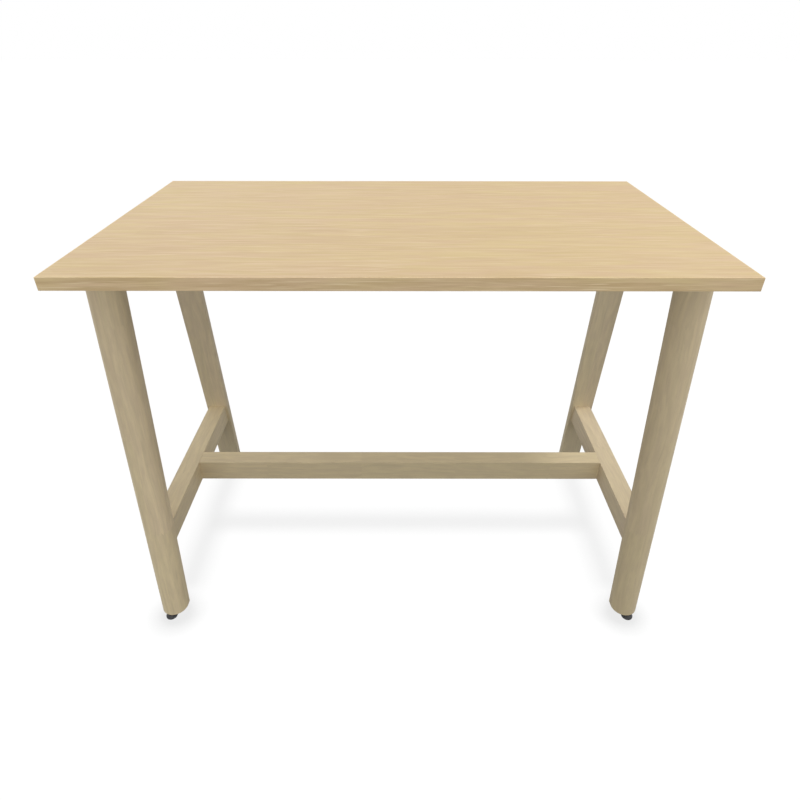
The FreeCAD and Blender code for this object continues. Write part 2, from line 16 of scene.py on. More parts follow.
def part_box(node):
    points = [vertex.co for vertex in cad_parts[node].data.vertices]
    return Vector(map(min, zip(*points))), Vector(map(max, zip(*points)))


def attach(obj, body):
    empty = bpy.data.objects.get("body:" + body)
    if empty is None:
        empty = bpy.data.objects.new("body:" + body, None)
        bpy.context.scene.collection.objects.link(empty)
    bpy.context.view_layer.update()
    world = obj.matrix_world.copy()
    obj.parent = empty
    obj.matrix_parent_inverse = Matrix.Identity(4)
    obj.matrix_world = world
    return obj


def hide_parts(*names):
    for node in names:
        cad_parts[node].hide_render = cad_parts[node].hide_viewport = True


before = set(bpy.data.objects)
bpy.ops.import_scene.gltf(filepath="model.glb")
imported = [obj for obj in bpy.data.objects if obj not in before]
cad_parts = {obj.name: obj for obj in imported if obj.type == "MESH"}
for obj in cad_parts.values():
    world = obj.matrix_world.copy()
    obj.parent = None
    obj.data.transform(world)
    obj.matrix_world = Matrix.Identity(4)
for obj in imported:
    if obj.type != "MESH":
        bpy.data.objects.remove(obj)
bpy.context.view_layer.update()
scene = bpy.context.scene
scene.view_settings.view_transform = "Standard"

# %% [markdown]
# ## Camera
# The picture was taken from in front of the table, above its top, looking about 32 degrees down with a
# wide lens. A camera could be turned by hand until it looks right. Here the place and the lens come from
# measured edges of the top, the legs and the rails, so that the render can be laid over the picture. The
# small shift moves the frame without turning the camera, which keeps upright lines as they are, and the
# roll is the picture's own slight slope.

# %% Camera
CAMERA_PLACE = (0.0011, -1.448, 1.4923)
CAMERA_PITCH_DOWN = math.radians(31.77)
CAMERA_ROLL = 0.001
CAMERA_LENS = 26.1
CAMERA_SHIFT_UP = -0.0213

camera_data = bpy.data.cameras.new("camera")
camera_data.sensor_fit = "HORIZONTAL"
camera_data.sensor_width = 36
camera_data.lens = CAMERA_LENS
camera_data.shift_y = CAMERA_SHIFT_UP
camera_data.clip_end = 100
camera = bpy.data.objects.new("camera", camera_data)
camera.location = CAMERA_PLACE
pitched = Euler((math.pi / 2 - CAMERA_PITCH_DOWN, 0, 0)).to_matrix()
camera.rotation_euler = (pitched @ Matrix.Rotation(CAMERA_ROLL, 3, "Z")).to_euler()
scene.collection.objects.link(camera)
scene.camera = camera
print("camera at", CAMERA_PLACE, "lens", CAMERA_LENS)

# %% [markdown]
# ## Helpers for node trees
# A material is a small network: textures make masks, masks mix colours, and one shader takes the result.
# One helper adds a node, sets its options and fills its inputs, either with a value or with another
# node's output.

# %% Node helper
def add_node(tree, kind, options=None, inputs=None):
    """A new node with its options set and its inputs filled or linked."""
    made = tree.nodes.new(kind)
    for name, value in (options or {}).items():
        setattr(made, name, value)
    for name, value in (inputs or {}).items():
        socket = made.inputs[name]
        if isinstance(value, bpy.types.NodeSocket):
            tree.links.new(value, socket)
        else:
            socket.default_value = value
    return made


def math_node(tree, operation, first, second=0.0, clamp=False):
    options = {"operation": operation, "use_clamp": clamp}
    return add_node(tree, "ShaderNodeMath", options, {0: first, 1: second}).outputs[0]


def mix_colours(tree, factor, first, second, blend="MIX"):
    options = {"data_type": "RGBA", "blend_type": blend}
    inputs = {"Factor": factor, "A": first, "B": second}
    return add_node(tree, "ShaderNodeMix", options, inputs).outputs["Result"]


def map_range(tree, value, from_low, from_high, to_low, to_high):
    inputs = {
        "Value": value, "From Min": from_low, "From Max": from_high, "To Min": to_low, "To Max": to_high}
    return add_node(tree, "ShaderNodeMapRange", {"clamp": True}, inputs).outputs["Result"]


def from_srgb(red, green, blue):
    """A colour written as on a screen, 0 to 255, as the linear values that shaders take."""
    def to_linear(part):
        part = part / 255
        return part / 12.92 if part <= 0.04045 else ((part + 0.055) / 1.055) ** 2.4
    return (to_linear(red), to_linear(green), to_linear(blue), 1.0)


print("node helpers ready")

# %% [markdown]
# ## Floor, background and light
# The picture has a plain white ground with soft shadows straight below the rails and round the feet, and
# no outline of the top. A floor under one plain lamp would show the wide shadow of the top as well. So
# the eye sees a floor that is nearly white by itself, and one wide sun adds the rest. That sun shines on
# the floor alone, and only the rails can block it. At the feet the floor is darker by as much as nearby
# pieces cover it, which is the soft shade that any low object has round it. Every other ray sees a pale
# glow, which throws soft light up on the legs and rails. From below the floor is clear, so that the
# underside of the table can be looked at.

# %% Floor
WHITE = (1, 1, 1, 1)
WARM_WHITE = (1, 0.985, 0.96, 1)
FLOOR_HALF_SIZE = 30.0
FLOOR_GLOW = 0.13
SHADOW_DEPTH = 0.17
FOOT_SHADE = 0.75
FOOT_SHADE_MOST = 0.19
FOOT_SHADE_REACH = 0.07
FOOT_SHADE_SAMPLES = 16
SHADOW_GREY = 0.02
SUN_WIDTH = math.radians(20)
SUN_TILT_FORWARD = math.radians(7)


def seen_directly(tree):
    """1 for rays from the eye, also by way of gloss or glass, and 0 for light that bounces."""
    path = add_node(tree, "ShaderNodeLightPath")
    either = math_node(tree, "MAXIMUM", path.outputs["Is Camera Ray"], path.outputs["Is Glossy Ray"])
    return math_node(tree, "MAXIMUM", either, path.outputs["Is Transmission Ray"])


def floor_material():
    material = bpy.data.materials.new("white_floor")
    material.use_nodes = True
    tree = material.node_tree
    tree.nodes.clear()
    nearby = add_node(tree, "ShaderNodeAmbientOcclusion", {"samples": FOOT_SHADE_SAMPLES}, {
        "Distance": FOOT_SHADE_REACH})
    covered = math_node(tree, "SUBTRACT", 1.0, nearby.outputs["AO"])
    shade = math_node(tree, "MINIMUM", math_node(tree, "MULTIPLY", covered, FOOT_SHADE), FOOT_SHADE_MOST)
    white = add_node(tree, "ShaderNodeEmission", None, {
        "Color": WHITE, "Strength": math_node(tree, "SUBTRACT", 1.0 - SHADOW_DEPTH, shade)})
    grey = (SHADOW_GREY, SHADOW_GREY, SHADOW_GREY, 1)
    shaded = add_node(tree, "ShaderNodeBsdfDiffuse", None, {"Color": grey})
    ground = add_node(tree, "ShaderNodeAddShader", None, {
        0: white.outputs["Emission"], 1: shaded.outputs["BSDF"]})
    glow = add_node(tree, "ShaderNodeEmission", None, {"Color": WARM_WHITE, "Strength": FLOOR_GLOW})
    mixed = add_node(tree, "ShaderNodeMixShader", None, {
        "Fac": seen_directly(tree), 1: glow.outputs["Emission"], 2: ground.outputs["Shader"]})
    clear = add_node(tree, "ShaderNodeBsdfTransparent")
    one_sided = add_node(tree, "ShaderNodeMixShader", None, {
        "Fac": add_node(tree, "ShaderNodeNewGeometry").outputs["Backfacing"],
        1: mixed.outputs["Shader"], 2: clear.outputs["BSDF"]})
    add_node(tree, "ShaderNodeOutputMaterial", None, {"Surface": one_sided.outputs["Shader"]})
    return material


floor_mesh = bpy.data.meshes.new("floor")
floor_corners = [
    (x * FLOOR_HALF_SIZE, y * FLOOR_HALF_SIZE, 0) for x, y in ((-1, -1), (1, -1), (1, 1), (-1, 1))]
floor_mesh.from_pydata(floor_corners, [], [(0, 1, 2, 3)])
floor_mesh.materials.append(floor_material())
floor = bpy.data.objects.new("floor", floor_mesh)
scene.collection.objects.link(floor)

lit_by_sun = bpy.data.collections.new("lit_by_sun")
lit_by_sun.objects.link(floor)
blocks_sun = bpy.data.collections.new("blocks_sun")
for rail in ("side_rail_left", "side_rail_right", "long_rail"):
    blocks_sun.objects.link(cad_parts[rail])
sun_lamp = bpy.data.lights.new("floor_sun", "SUN")
sun_lamp.angle = SUN_WIDTH
sun_lamp.energy = SHADOW_DEPTH * math.pi / SHADOW_GREY
sun = bpy.data.objects.new("floor_sun", sun_lamp)
sun.rotation_euler = (SUN_TILT_FORWARD, 0, 0)
sun.light_linking.receiver_collection = lit_by_sun
sun.light_linking.blocker_collection = blocks_sun
scene.collection.objects.link(sun)

# %% [markdown]
# Studio light is a pale dome, five large soft boxes and one smaller key box. In the picture the long rail
# is as bright in the middle of the table as near its ends, so the soft light reaches it as if the top
# were not in the way: the top is left out of the pieces that block the five soft boxes. The right rail
# and the right end of the long rail are brighter than the rest. That is the key box, high on the right,
# and it does stop at the end of the top.

# %% Light
DOME_STRENGTH = 0.4
SOFT_BOXES = {
    # name: azimuth, elevation, distance, width, watts
    "front_box": (-98, 18, 4.0, 2.6, 40),
    "right_front_box": (-30, 30, 4.0, 2.6, 22),
    "left_box": (180, 45, 4.0, 2.6, 25),
    "left_back_box": (120, 40, 4.0, 2.6, 20),
    "right_box": (0, 45, 4.0, 2.6, 18),
    "key_box": (0, 66, 5.0, 0.7, 62),
}
LIGHT_TARGET = Vector((0, 0, 0.6))

blocks_boxes = bpy.data.collections.new("blocks_boxes")
for node_name, node_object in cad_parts.items():
    if node_name.startswith(("leg_front", "leg_back", "side_rail", "long_rail", "foot_")):
        blocks_boxes.objects.link(node_object)

world = bpy.data.worlds.new("studio")
scene.world = world
world.use_nodes = True
studio = world.node_tree
studio.nodes.clear()
dome = add_node(studio, "ShaderNodeBackground", None, {"Color": WHITE, "Strength": DOME_STRENGTH})
backdrop = add_node(studio, "ShaderNodeBackground", None, {"Color": WHITE, "Strength": 1.0})
sky = add_node(studio, "ShaderNodeMixShader", None, {
    "Fac": seen_directly(studio), 1: dome.outputs["Background"], 2: backdrop.outputs["Background"]})
add_node(studio, "ShaderNodeOutputWorld", None, {"Surface": sky.outputs["Shader"]})

for box_name, (azimuth, elevation, distance, width, watts) in SOFT_BOXES.items():
    lamp = bpy.data.lights.new(box_name, "AREA")
    lamp.size = width
    lamp.energy = watts
    lamp_object = bpy.data.objects.new(box_name, lamp)
    level = math.cos(math.radians(elevation))
    direction = Vector((level * math.cos(math.radians(azimuth)), level * math.sin(math.radians(azimuth)),
                        math.sin(math.radians(elevation))))
    lamp_object.location = LIGHT_TARGET + direction * distance
    lamp_object.rotation_euler = direction.to_track_quat("Z", "Y").to_euler()
    scene.collection.objects.link(lamp_object)
    if box_name != "key_box":
        lamp_object.light_linking.blocker_collection = blocks_boxes

# %% [markdown]
# ## Wood grain, shared by all wooden finishes
# Wood grain is rings of early and late wood, cut along their length, with fine fibres and slow changes of
# tone. An image could be wrapped round each piece, but a solid texture runs through the piece as real
# grain does, so the pattern on a leg's round face meets the pattern on its flat face. The group takes
# coordinates whose X axis lies along the grain. A number for each glued block moves the pattern, so that
# no two blocks match, and a slow noise bends the fibres a little, because no tree grows straight.

# %% Grain group
def new_group(name, inputs, outputs):
    """A shader group that takes a vector and numbers, together with its inputs as seen from inside."""
    group = bpy.data.node_groups.new(name, "ShaderNodeTree")
    group.interface.new_socket("Vector", in_out="INPUT", socket_type="NodeSocketVector")
    for input_name, value in inputs.items():
        socket = group.interface.new_socket(input_name, in_out="INPUT", socket_type="NodeSocketFloat")
        socket.default_value = value
    for output_name in outputs:
        group.interface.new_socket(output_name, in_out="OUTPUT", socket_type="NodeSocketFloat")
    return group, add_node(group, "NodeGroupInput").outputs


BLOCK_SHIFT = (7.3, 0.31, 0.23)
DRIFT_STRETCH = (0.3, 1, 1)
DRIFT_SCALE = 10.0
# how far each mark is drawn out: a mark with 0.1 is ten times as long as it is wide
STRETCH_ALONG = {"Fibres": 0.045, "Figure": 0.17, "Lines": 0.03, "Pores": 0.02, "Tone": 0.09}
PITH_PLACE = (0, 0.11, 0.07)
PITH_TILT = (0, 0.035, 0.05)
PITH_STRETCH = (0.35, 1, 1)


def grain_group():
    group, inside = new_group("wood_grain", {
        "Block": 0.0, "Ring Scale": 40.0, "Ring Waviness": 3.0, "Fibre Scale": 180.0, "Figure Scale": 60.0,
        "Bend": 0.022}, ("Rings", "Fibres", "Figure", "Lines", "Pores", "Tone"))

    move = add_node(group, "ShaderNodeVectorMath", {"operation": "MULTIPLY"}, {0: BLOCK_SHIFT})
    shift = add_node(group, "ShaderNodeCombineXYZ", None, {axis: inside["Block"] for axis in "XYZ"})
    group.links.new(shift.outputs["Vector"], move.inputs[1])
    moved = add_node(group, "ShaderNodeVectorMath", {"operation": "ADD"},
                     {0: inside["Vector"], 1: move.outputs["Vector"]}).outputs["Vector"]

    slow = add_node(group, "ShaderNodeVectorMath", {"operation": "MULTIPLY"}, {0: moved, 1: DRIFT_STRETCH})
    drift = add_node(group, "ShaderNodeTexNoise", None, {
        "Vector": slow.outputs["Vector"], "Scale": DRIFT_SCALE, "Detail": 1.0}).outputs["Color"]
    centred = add_node(group, "ShaderNodeVectorMath", {"operation": "SUBTRACT"}, {
        0: drift, 1: (0.5, 0.5, 0.5)})
    across = add_node(group, "ShaderNodeCombineXYZ", None, {"Y": inside["Bend"], "Z": inside["Bend"]})
    bend = add_node(group, "ShaderNodeVectorMath", {"operation": "MULTIPLY"}, {
        0: centred.outputs["Vector"], 1: across.outputs["Vector"]})
    moved = add_node(group, "ShaderNodeVectorMath", {"operation": "ADD"},
                     {0: moved, 1: bend.outputs["Vector"]}).outputs["Vector"]

    def noise(mark, scale, detail, roughness=0.55):
        stretched = add_node(group, "ShaderNodeVectorMath", {"operation": "MULTIPLY"}, {
            0: moved, 1: (STRETCH_ALONG[mark], 1, 1)})
        return add_node(group, "ShaderNodeTexNoise", None, {
            "Vector": stretched.outputs["Vector"], "Scale": scale, "Detail": detail,
            "Roughness": roughness}).outputs["Fac"]

    tilted = add_node(group, "ShaderNodeMapping", None, {
        "Vector": moved, "Location": PITH_PLACE, "Rotation": PITH_TILT, "Scale": PITH_STRETCH})
    rings = add_node(group, "ShaderNodeTexWave", {
        "wave_type": "RINGS", "rings_direction": "X", "wave_profile": "SAW"}, {
        "Vector": tilted.outputs["Vector"], "Scale": inside["Ring Scale"],
        "Distortion": inside["Ring Waviness"], "Detail": 2.0, "Detail Scale": 0.35}).outputs["Fac"]
    add_node(group, "NodeGroupOutput", None, {
        "Rings": rings,
        "Fibres": noise("Fibres", inside["Fibre Scale"], 4.0, 0.66),
        "Figure": noise("Figure", inside["Figure Scale"], 2.0),
        "Lines": map_range(group, noise("Lines", 330.0, 1.0), 0.58, 0.72, 0.0, 1.0),
        "Pores": map_range(group, noise("Pores", 900.0, 1.0), 0.62, 0.72, 0.0, 1.0),
        "Tone": noise("Tone", 13.0, 2.0)})
    return group


wood_grain = grain_group()
print("group made:", wood_grain.name)

# %% [markdown]
# The legs and rails are glued up from shorter blocks, as most solid-wood furniture is. A leg is made of
# strips side by side, whose finger joints lie at different heights, and a rail is a single row of blocks.
# A brick pattern has the same layout. Each brick gives a number between 0 and 1 that sets the block's
# tone and moves its grain. A zigzag in the length makes the fingers of the joints.

# %% Block group
FINGER_WIDTH = 0.006
FINGER_LENGTH = 0.011
GLUE_LINE = 0.0003


def block_group():
    group, inside = new_group(
        "glued_blocks", {"Block Length": 0.35, "Block Width": 0.04}, ("Block", "Joint"))
    place = add_node(group, "ShaderNodeSeparateXYZ", None, {"Vector": inside["Vector"]}).outputs
    zigzag = math_node(group, "PINGPONG", place["Y"], FINGER_WIDTH / 2)
    fingers = math_node(group, "MULTIPLY", zigzag, 2 * FINGER_LENGTH / FINGER_WIDTH)
    jointed = add_node(group, "ShaderNodeCombineXYZ", None, {
        "X": math_node(group, "ADD", place["X"], fingers), "Y": place["Y"], "Z": place["Z"]})
    bricks = add_node(group, "ShaderNodeTexBrick", {"offset": 0.5, "offset_frequency": 2}, {
        "Vector": jointed.outputs["Vector"], "Color1": (0, 0, 0, 1), "Color2": WHITE,
        "Mortar": (0.5, 0.5, 0.5, 1), "Scale": 1.0, "Mortar Size": GLUE_LINE, "Mortar Smooth": 0.6,
        "Bias": 0.0, "Brick Width": inside["Block Length"], "Row Height": inside["Block Width"]})
    tone = add_node(group, "ShaderNodeSeparateColor", None, {"Color": bricks.outputs["Color"]})
    add_node(group, "NodeGroupOutput", None, {
        "Block": tone.outputs["Red"], "Joint": bricks.outputs["Fac"]})
    return group


glued_blocks = block_group()
print("group made:", glued_blocks.name)

# %% [markdown]
# ## Solid wood of the legs and rails
# The wood is a pale greyish beige under a matt lacquer: faint rings, short soft streaks that bend a
# little, and blocks that differ in tone, some rather olive and some rather pink. Each piece needs its
# grain along its own length, so the same recipe is turned for the rake of the front and back legs and for
# the two directions of the rails. The offsets of the blocks put the joints where the picture shows them.
# Every leg and rail comes from another board, so it also has its own tint. Besides, the front left leg
# is paler toward its foot.

# %% Solid wood
WOOD_OLIVE = (0.73, 0.612, 0.386)
WOOD_PINK = (0.65, 0.528, 0.357)
WOOD_STREAK = 0.74
WOOD_LIGHT = 1.08
WOOD_FOOT = 1.16
BLOCK_TONES = (0.965, 1.065)
PALE_FOOT_HEIGHTS = (0.85, 0.25)
STREAK_SHARE = 0.45
PORE_SHARE = 0.25
JOINT_SHARE = 0.12
MATT_GLOSS = 0.25


def new_material(name):
    material = bpy.data.materials.new(name)
    material.use_nodes = True
    tree = material.node_tree
    tree.nodes.clear()
    shader = add_node(tree, "ShaderNodeBsdfPrincipled")
    add_node(tree, "ShaderNodeOutputMaterial", None, {"Surface": shader.outputs["BSDF"]})
    return material, tree, shader


def along_grain(tree, turn):
    """Object coordinates, turned so that X lies along the grain."""
    place = add_node(tree, "ShaderNodeTexCoord").outputs["Object"]
    turned = add_node(tree, "ShaderNodeMapping", None, {"Vector": place, "Rotation": turn})
    return turned.outputs["Vector"]


def tinted(colour, tint, tone=1.0):
    return tuple(part * share * tone for part, share in zip(colour, tint)) + (1.0,)


def solid_wood(name, turn, block_turn, block_offset, block_size, tint, pale_foot=0.0):
    """Lacquered solid wood; the block pattern lies on its own pair of axes."""
    material, tree, shader = new_material(name)
    grain_place = along_grain(tree, turn)
    block_place = add_node(tree, "ShaderNodeMapping", None, {
        "Vector": grain_place, "Location": block_offset, "Rotation": block_turn}).outputs["Vector"]
    blocks = add_node(tree, "ShaderNodeGroup", {"node_tree": glued_blocks}, {
        "Vector": block_place, "Block Length": block_size[0], "Block Width": block_size[1]})
    grain = add_node(tree, "ShaderNodeGroup", {"node_tree": wood_grain}, {
        "Vector": grain_place, "Block": blocks.outputs["Block"], "Ring Scale": 16.0, "Ring Waviness": 5.0,
        "Fibre Scale": 150.0, "Figure Scale": 85.0, "Bend": 0.045})

    late_wood = map_range(tree, grain.outputs["Rings"], 0.45, 1.0, 0.0, 0.35)
    fibres = map_range(tree, grain.outputs["Fibres"], 0.4, 0.68, 0.0, 0.6)
    streaks = math_node(tree, "ADD", late_wood, fibres, clamp=True)
    figure = map_range(tree, grain.outputs["Figure"], 0.34, 0.66, 0.0, 0.55)
    tone = map_range(tree, grain.outputs["Tone"], 0.35, 0.65, 0.0, 0.45)
    light = math_node(tree, "ADD", tone, figure, clamp=True)
    block_hue = math_node(tree, "MULTIPLY", blocks.outputs["Block"], 0.65)
    patch_hue = map_range(tree, grain.outputs["Figure"], 0.4, 0.6, 0.35, 0.0)
    hue = math_node(tree, "ADD", block_hue, patch_hue, clamp=True)
    colour = mix_colours(tree, hue, tinted(WOOD_OLIVE, tint), tinted(WOOD_PINK, tint))
    pale_pair = (tinted(WOOD_OLIVE, tint, WOOD_LIGHT), tinted(WOOD_PINK, tint, WOOD_LIGHT))
    colour = mix_colours(tree, light, colour, mix_colours(tree, hue, *pale_pair))
    if pale_foot:
        along = add_node(tree, "ShaderNodeSeparateXYZ", None, {"Vector": grain_place}).outputs["X"]
        lower = map_range(tree, along, *PALE_FOOT_HEIGHTS, 0.0, pale_foot)
        colour = mix_colours(tree, lower, colour, (WOOD_FOOT, WOOD_FOOT, WOOD_FOOT, 1.0), "MULTIPLY")
    block_tone = map_range(tree, blocks.outputs["Block"], 0.0, 1.0, *BLOCK_TONES)
    colour = mix_colours(tree, 1.0, colour, block_tone, "MULTIPLY")
    dark = tinted(WOOD_OLIVE, tint, WOOD_STREAK)
    for mask, share in ((streaks, STREAK_SHARE), (grain.outputs["Pores"], PORE_SHARE),
                        (blocks.outputs["Joint"], JOINT_SHARE)):
        colour = mix_colours(tree, math_node(tree, "MULTIPLY", mask, share), colour, dark)
    tree.links.new(colour, shader.inputs["Base Color"])
    roughness = map_range(tree, grain.outputs["Fibres"], 0.3, 0.7, 0.5, 0.62)
    tree.links.new(roughness, shader.inputs["Roughness"])
    relief = math_node(tree, "SUBTRACT", grain.outputs["Fibres"], grain.outputs["Pores"])
    bump = add_node(tree, "ShaderNodeBump", None, {"Strength": 0.25, "Distance": 0.0004, "Height": relief})
    tree.links.new(bump.outputs["Normal"], shader.inputs["Normal"])
    shader.inputs["Specular IOR Level"].default_value = MATT_GLOSS
    return material


LEG_RAKE = math.radians(6.19)
UP_TO_X = math.pi / 2
SWAP_WIDTH = (math.pi / 2, 0, 0)
ACROSS = (0, 0, -math.pi / 2)
LEG_BLOCKS = (0.59, 0.041)
RAIL_BLOCKS = (0.298, 0.2)
LEG_WOODS = {
    # name: rake, offset of the blocks along and across, tint, paler foot
    "front_left_leg_wood": (LEG_RAKE, (0.0045, 0.0035, 0), (0.975, 0.975, 0.975), 0.95),
    "front_right_leg_wood": (LEG_RAKE, (0.0045, 0.0375, 0), (0.907, 0.907, 0.897), 0.0),
    "back_left_leg_wood": (-LEG_RAKE, (0.0095, 0.0035, 0), (0.975, 0.99, 1.03), 0.0),
    "back_right_leg_wood": (-LEG_RAKE, (0.0095, -0.0035, 0), (0.975, 0.995, 1.04), 0.0),
}
finishes = {}
for name, (rake, offset, tint, pale_foot) in LEG_WOODS.items():
    finishes[name] = solid_wood(name, (rake, UP_TO_X, 0), SWAP_WIDTH, offset, LEG_BLOCKS, tint, pale_foot)

RAIL_WOODS = {
    # name: turn, offset of the blocks along and across, tint
    "long_rail_wood": ((0, 0, 0), (0.2655, 0.1, 0), (0.97, 0.97, 0.965)),
    "left_rail_wood": (ACROSS, (0.07, 0.04, 0), (1.03, 1.03, 1.045)),
    "right_rail_wood": (ACROSS, (0.24, 0.16, 0), (0.95, 0.955, 0.985)),
}
for name, (turn, offset, tint) in RAIL_WOODS.items():
    finishes[name] = solid_wood(name, turn, (0, 0, 0), offset, RAIL_BLOCKS, tint)
print("solid wood finishes:", len(finishes))

# %% [markdown]
# ## Wood-decor laminate of the top
# The top shows a printed oak decor under a matt, slightly textured sheet: soft streaks along the table
# that are a touch yellower or pinker than their neighbours, fine darker fibres, a few pale lines, and no
# blocks. The same grain group is used with other values. The edge bands carry the same decor, turned
# along their own edge. They are a product of their own, and a little paler than the sheet.

# %% Laminate
DECOR_YELLOW = (0.70, 0.542, 0.279)
DECOR_PINK = (0.687, 0.499, 0.302)
DECOR_STREAK = (0.527, 0.366, 0.188)
DECOR_LINE = (0.76, 0.592, 0.371)
TOP_TINT = (0.985, 1.0, 1.02)
EDGE_TINT = (1.19, 1.23, 1.265)
DECOR_PORE_SHARE = 0.2
FIBRE_SHARE = 0.36
BAND_SHARE = 0.1


def laminate(name, turn, tint, contrast, line_share):
    material, tree, shader = new_material(name)
    place = along_grain(tree, turn)
    grain = add_node(tree, "ShaderNodeGroup", {"node_tree": wood_grain}, {
        "Vector": place, "Block": 0.37, "Ring Scale": 9.0, "Ring Waviness": 7.0, "Fibre Scale": 120.0,
        "Figure Scale": 36.0, "Bend": 0.0025})
    figure = map_range(tree, grain.outputs["Figure"], 0.35, 0.65, 0.0, 0.7)
    tone = map_range(tree, grain.outputs["Tone"], 0.35, 0.65, 0.0, 0.5)
    streaks = math_node(tree, "ADD", figure, tone, clamp=True)
    bands = map_range(tree, grain.outputs["Rings"], 0.1, 1.0, 0.0, BAND_SHARE)
    fibres = map_range(tree, grain.outputs["Fibres"], 0.38, 0.7, 0.0, FIBRE_SHARE * contrast)
    colour = mix_colours(tree, streaks, tinted(DECOR_YELLOW, tint), tinted(DECOR_PINK, tint))
    dark = tinted(DECOR_STREAK, tint)
    colour = mix_colours(tree, math_node(tree, "ADD", bands, fibres, clamp=True), colour, dark)
    lines = math_node(tree, "MULTIPLY", grain.outputs["Lines"], line_share)
    colour = mix_colours(tree, lines, colour, tinted(DECOR_LINE, tint))
    pores = math_node(tree, "MULTIPLY", grain.outputs["Pores"], DECOR_PORE_SHARE)
    colour = mix_colours(tree, pores, colour, dark)
    tree.links.new(colour, shader.inputs["Base Color"])
    roughness = map_range(tree, grain.outputs["Fibres"], 0.3, 0.7, 0.52, 0.66)
    tree.links.new(roughness, shader.inputs["Roughness"])
    bump = add_node(tree, "ShaderNodeBump", None, {
        "Strength": 0.15, "Distance": 0.0002, "Height": grain.outputs["Fibres"]})
    tree.links.new(bump.outputs["Normal"], shader.inputs["Normal"])
    shader.inputs["Specular IOR Level"].default_value = MATT_GLOSS
    return material


DECORS = {
    # name: turn, tint, contrast of the fibres, share of the pale lines
    "top_decor": ((0, 0, 0), TOP_TINT, 1.0, 0.75),
    "long_edge_decor": ((0, 0, 0), EDGE_TINT, 2.4, 1.0),
    "end_edge_decor": (ACROSS, EDGE_TINT, 2.4, 1.0),
}
for name, values in DECORS.items():
    finishes[name] = laminate(name, *values)
print("laminate finishes:", ", ".join(DECORS))

# %% [markdown]
# ## Hidden and small finishes
# The core is pressed wood chips, the dowels are plain beech, the plates have a black powder coat with a
# fine orange-peel surface, the fasteners are zinc plated, the inserts are brass and the foot pads are
# black moulded plastic. Most of these show only from below or when a foot is screwed out, but each still
# gets its own surface. A speckle of fine noise is shared by the metals and the plastic.

# %% Speckle group
def speckle_group():
    group, inside = new_group(
        "fine_speckle", {"Fine Scale": 2500.0, "Patch Scale": 90.0}, ("Fine", "Patches"))
    fine = add_node(group, "ShaderNodeTexNoise", None, {
        "Vector": inside["Vector"], "Scale": inside["Fine Scale"], "Detail": 1.0})
    patches = add_node(group, "ShaderNodeTexNoise", None, {
        "Vector": inside["Vector"], "Scale": inside["Patch Scale"], "Detail": 3.0})
    add_node(group, "NodeGroupOutput", None, {
        "Fine": fine.outputs["Fac"], "Patches": patches.outputs["Fac"]})
    return group


fine_speckle = speckle_group()
print("group made:", fine_speckle.name)

# %% [markdown]
# The coated plates, the plated steel, the brass and the plastic differ in two close colours, in gloss and
# in the size of the speckle, so one recipe makes all four. The core and the dowels are hidden in the
# finished table. Cells pressed flat stand for the chips of the core, and the dowels use the wood grain
# again, with finer values.

# %% Small finishes
def speckled(name, colours, roughness, metallic, scales, relief):
    """A finish of two close colours with fine relief, for coated metal, plated metal and plastic."""
    material, tree, shader = new_material(name)
    place = add_node(tree, "ShaderNodeTexCoord").outputs["Object"]
    speckle = add_node(tree, "ShaderNodeGroup", {"node_tree": fine_speckle}, {
        "Vector": place, "Fine Scale": scales[0], "Patch Scale": scales[1]})
    colour = mix_colours(tree, speckle.outputs["Patches"], colours[0], colours[1])
    tree.links.new(colour, shader.inputs["Base Color"])
    uneven = map_range(tree, speckle.outputs["Patches"], 0.3, 0.7, *roughness)
    tree.links.new(uneven, shader.inputs["Roughness"])
    bump = add_node(tree, "ShaderNodeBump", None, {
        "Strength": relief, "Distance": 0.0002, "Height": speckle.outputs["Fine"]})
    tree.links.new(bump.outputs["Normal"], shader.inputs["Normal"])
    shader.inputs["Metallic"].default_value = metallic
    return material


SPECKLED = {
    # name: two colours, roughness, metallic, scales of the speckle and of its patches, relief
    "black_powder_coat": ((30, 30, 31), (38, 38, 39), (0.5, 0.62), 0.0, (1400.0, 60.0), 0.35),
    "zinc_plate": ((186, 188, 190), (205, 205, 203), (0.28, 0.42), 1.0, (3000.0, 140.0), 0.12),
    "insert_brass": ((196, 164, 96), (208, 178, 112), (0.3, 0.42), 1.0, (3000.0, 140.0), 0.1),
    "foot_plastic": ((36, 36, 38), (48, 48, 50), (0.42, 0.56), 0.0, (2200.0, 120.0), 0.3),
}
for name, (darker, lighter, *surface) in SPECKLED.items():
    finishes[name] = speckled(name, (from_srgb(*darker), from_srgb(*lighter)), *surface)


def chipboard(name):
    material, tree, shader = new_material(name)
    place = along_grain(tree, (0, 0, 0))
    flat_chips = add_node(tree, "ShaderNodeMapping", None, {"Vector": place, "Scale": (1, 1, 3)})
    chips = add_node(tree, "ShaderNodeTexVoronoi", None, {
        "Vector": flat_chips.outputs["Vector"], "Scale": 160.0})
    shade = add_node(tree, "ShaderNodeSeparateColor", None, {"Color": chips.outputs["Color"]})
    colour = mix_colours(tree, shade.outputs["Red"], from_srgb(196, 166, 122), from_srgb(160, 126, 84))
    tree.links.new(colour, shader.inputs["Base Color"])
    bump = add_node(tree, "ShaderNodeBump", None, {
        "Strength": 0.3, "Distance": 0.0005, "Height": chips.outputs["Distance"]})
    tree.links.new(bump.outputs["Normal"], shader.inputs["Normal"])
    shader.inputs["Roughness"].default_value = 0.85
    return material


